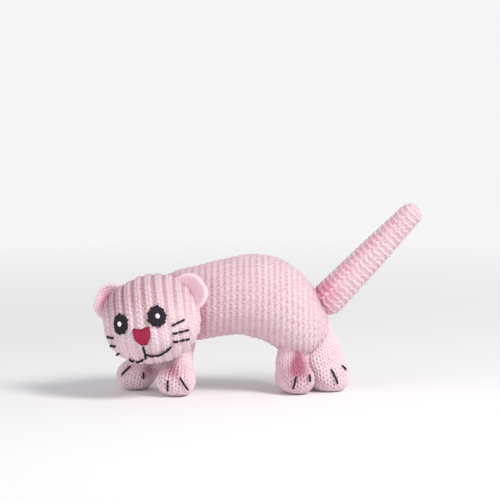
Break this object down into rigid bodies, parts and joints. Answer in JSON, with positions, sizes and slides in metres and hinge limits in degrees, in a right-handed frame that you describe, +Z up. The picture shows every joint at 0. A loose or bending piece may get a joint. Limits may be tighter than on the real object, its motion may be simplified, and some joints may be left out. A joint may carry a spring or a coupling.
{
  "type": "stuffed toy cat",
  "caption": "Small stuffed knitted toy cat with a turned head, stubby sewn-on legs, a raised tail and an embroidered face, filled with stuffing and a herb sachet.",
  "frame": {"origin": "on the ground under the middle of the whole cat's bounding box", "axes": "+X from the head to the tail, the face looks to -Y, +Z up"},
  "size_m": [0.1414, 0.0574, 0.0808],
  "materials": {
    "pink_knit": "soft pale pink knitted yarn",
    "filling": "white loose fibre filling",
    "gauze": "thin woven sachet cloth",
    "catnip": "dry chopped herb",
    "pink_yarn": "pink gathering yarn",
    "black_thread": "black embroidery thread",
    "white_thread": "white embroidery thread",
    "red_thread": "crimson embroidery thread"
  },
  "bodies": {
    "torso": {"torso_cover": "pink_knit", "torso_stuffing": "filling", "catnip_sachet": "gauze", "dried_catnip": "catnip", "torso_gathering_yarn": "pink_yarn"},
    "head": {"head_cover": "pink_knit", "head_stuffing": "filling", "head_gathering_yarn": "pink_yarn", "eye_left": "black_thread", "eye_glint_left": "white_thread", "mouth_thread_left": "black_thread", "whisker_thread_left_1": "black_thread", "whisker_thread_left_2": "black_thread", "whisker_thread_left_3": "black_thread", "eye_right": "black_thread", "eye_glint_right": "white_thread", "mouth_thread_right": "black_thread", "whisker_thread_right_1": "black_thread", "whisker_thread_right_2": "black_thread", "whisker_thread_right_3": "black_thread", "nose": "red_thread", "nose_thread": "black_thread"},
    "left_ear": {"ear_left": "pink_knit"},
    "right_ear": {"ear_right": "pink_knit"},
    "front_left_leg": {"front_left_cover": "pink_knit", "front_left_stuffing": "filling", "front_left_gathering_yarn": "pink_yarn", "front_left_toe_stitch_1": "black_thread", "front_left_toe_stitch_2": "black_thread"},
    "front_right_leg": {"front_right_cover": "pink_knit", "front_right_stuffing": "filling", "front_right_gathering_yarn": "pink_yarn", "front_right_toe_stitch_1": "black_thread", "front_right_toe_stitch_2": "black_thread"},
    "hind_left_leg": {"hind_left_cover": "pink_knit", "hind_left_stuffing": "filling", "hind_left_gathering_yarn": "pink_yarn", "hind_left_toe_stitch_1": "black_thread", "hind_left_toe_stitch_2": "black_thread"},
    "hind_right_leg": {"hind_right_cover": "pink_knit", "hind_right_stuffing": "filling", "hind_right_gathering_yarn": "pink_yarn", "hind_right_toe_stitch_1": "black_thread", "hind_right_toe_stitch_2": "black_thread"},
    "tail": {"tail_cover": "pink_knit", "tail_stuffing": "filling", "tail_gathering_yarn": "pink_yarn"}
  },
  "joints": [
    {"name": "head_turn", "type": "hinge", "parent": "torso", "child": "head", "pos_m": [-0.04513, -0.00575, 0.0337], "axis": [-0.1373, 0.1165, 0.9837], "range_deg": [-25, 10], "stiffness_Nm_per_rad": 0.03},
    {"name": "front_left_swing", "type": "hinge", "parent": "torso", "child": "front_left_leg", "pos_m": [-0.03955, 0.02112, 0.02338], "axis": [0.9613, -0.2756, 0], "range_deg": [-14, 18], "stiffness_Nm_per_rad": 0.04},
    {"name": "front_right_swing", "type": "hinge", "parent": "torso", "child": "front_right_leg", "pos_m": [-0.03027, 0.01276, 0.01942], "axis": [0.9994, -0.0349, 0], "range_deg": [-3.5, 18], "stiffness_Nm_per_rad": 0.04},
    {"name": "hind_left_swing", "type": "hinge", "parent": "torso", "child": "hind_left_leg", "pos_m": [0.01501, 0.00598, 0.01301], "axis": [0.9135, 0.4067, 0], "range_deg": [-18, 14], "stiffness_Nm_per_rad": 0.04},
    {"name": "hind_right_swing", "type": "hinge", "parent": "torso", "child": "hind_right_leg", "pos_m": [0.02993, 0.01262, 0.01793], "axis": [0.9135, 0.4067, 0], "range_deg": [-18, 8], "stiffness_Nm_per_rad": 0.04},
    {"name": "tail_swing", "type": "hinge", "parent": "torso", "child": "tail", "pos_m": [0.03119, 0.01429, 0.04003], "axis": [0, 1, 0], "range_deg": [-25, 25], "stiffness_Nm_per_rad": 0.02},
    {"name": "left_ear_flop", "type": "hinge", "parent": "head", "child": "left_ear", "pos_m": [-0.06101, -0.00068, 0.03996], "axis": [-0.2577, 0.0124, -0.9662], "range_deg": [-15, 15], "stiffness_Nm_per_rad": 0.004},
    {"name": "right_ear_flop", "type": "hinge", "parent": "head", "child": "right_ear", "pos_m": [-0.03063, -0.01022, 0.04379], "axis": [0.5085, -0.2254, -0.8311], "range_deg": [-15, 15], "stiffness_Nm_per_rad": 0.004}
  ]
}
